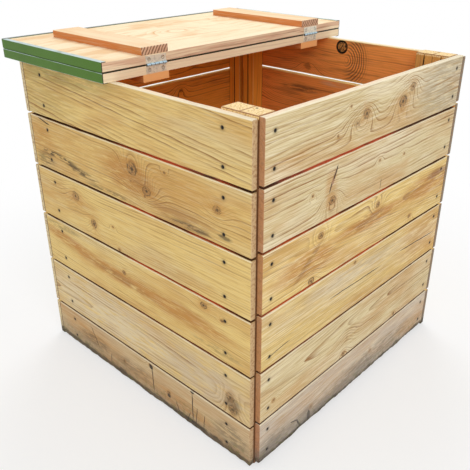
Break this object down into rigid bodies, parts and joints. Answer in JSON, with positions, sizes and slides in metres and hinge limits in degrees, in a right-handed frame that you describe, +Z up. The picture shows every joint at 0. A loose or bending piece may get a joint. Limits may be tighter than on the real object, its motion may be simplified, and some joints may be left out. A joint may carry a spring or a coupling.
{
  "type": "compost bin with lid",
  "caption": "Square timber compost bin: gapped level boards screwed to corner posts, with a hinged lid under a green sheet cover, its front half folded back.",
  "frame": {"origin": "on the ground, straight below the middle of the lid's fold edge, which is the middle of the outline's bottom while the lid lies folded back", "axes": "+Z up, +Y towards the back of the bin, where the lid lies folded, +X to the right seen from the front"},
  "size_m": [0.888, 0.872, 0.924],
  "materials": {
    "board_wood": "rough-sawn softwood, weathered, with knots",
    "post_wood": "sawn softwood",
    "lid_wood": "planed softwood panel, pale",
    "batten_wood": "planed softwood",
    "green_cover": "satin green paint",
    "hinge_steel": "zinc plated",
    "dark_screw_steel": "dark, dull"
  },
  "bodies": {
    "bin": {"front_board_1": "board_wood", "front_board_2": "board_wood", "front_board_3": "board_wood", "front_board_4": "board_wood", "front_board_5": "board_wood", "front_board_6": "board_wood", "left_board_1": "board_wood", "left_board_2": "board_wood", "left_board_3": "board_wood", "left_board_4": "board_wood", "left_board_5": "board_wood", "left_board_6": "board_wood", "right_board_1": "board_wood", "right_board_2": "board_wood", "right_board_3": "board_wood", "right_board_4": "board_wood", "right_board_5": "board_wood", "right_board_6": "board_wood", "back_board_1": "board_wood", "back_board_2": "board_wood", "back_board_3": "board_wood", "back_board_4": "board_wood", "back_board_5": "board_wood", "back_board_6": "board_wood", "front_board_screws": "dark_screw_steel", "left_board_screws": "dark_screw_steel", "right_board_screws": "dark_screw_steel", "back_board_screws": "dark_screw_steel", "corner_post_front_left": "post_wood", "corner_post_front_right": "post_wood", "corner_post_back_left": "post_wood", "corner_post_back_right": "post_wood", "side_post_front_left": "post_wood", "side_post_front_right": "post_wood", "side_post_back_left": "post_wood", "side_post_back_right": "post_wood", "corner_tie_screws": "dark_screw_steel", "corner_post_nail": "dark_screw_steel"},
    "lid_rear": {"rear_lid_board": "lid_wood", "rear_lid_cover": "green_cover", "rear_batten_screws": "dark_screw_steel", "rear_hinge_screws": "hinge_steel", "rear_lid_batten_left": "batten_wood", "rear_hinge_leaf_left": "hinge_steel", "rear_lid_batten_right": "batten_wood", "rear_hinge_leaf_right": "hinge_steel", "hinge_pin_left": "hinge_steel", "hinge_pin_right": "hinge_steel"},
    "lid_front": {"front_lid_board": "lid_wood", "front_lid_cover": "green_cover", "front_batten_screws": "dark_screw_steel", "front_hinge_screws": "hinge_steel", "front_lid_batten_left": "batten_wood", "front_hinge_leaf_left": "hinge_steel", "front_lid_batten_right": "batten_wood", "front_hinge_leaf_right": "hinge_steel"}
  },
  "joints": [
    {"name": "lid_lift", "type": "slide", "parent": "bin", "child": "lid_rear", "axis": [0, 0, 1], "range_m": [0, 0.25]},
    {"name": "lid_fold", "type": "hinge", "parent": "lid_rear", "child": "lid_front", "pos_m": [0, -0.003, 0.884], "axis": [1, 0, 0], "range_deg": [0, 179.2]}
  ]
}
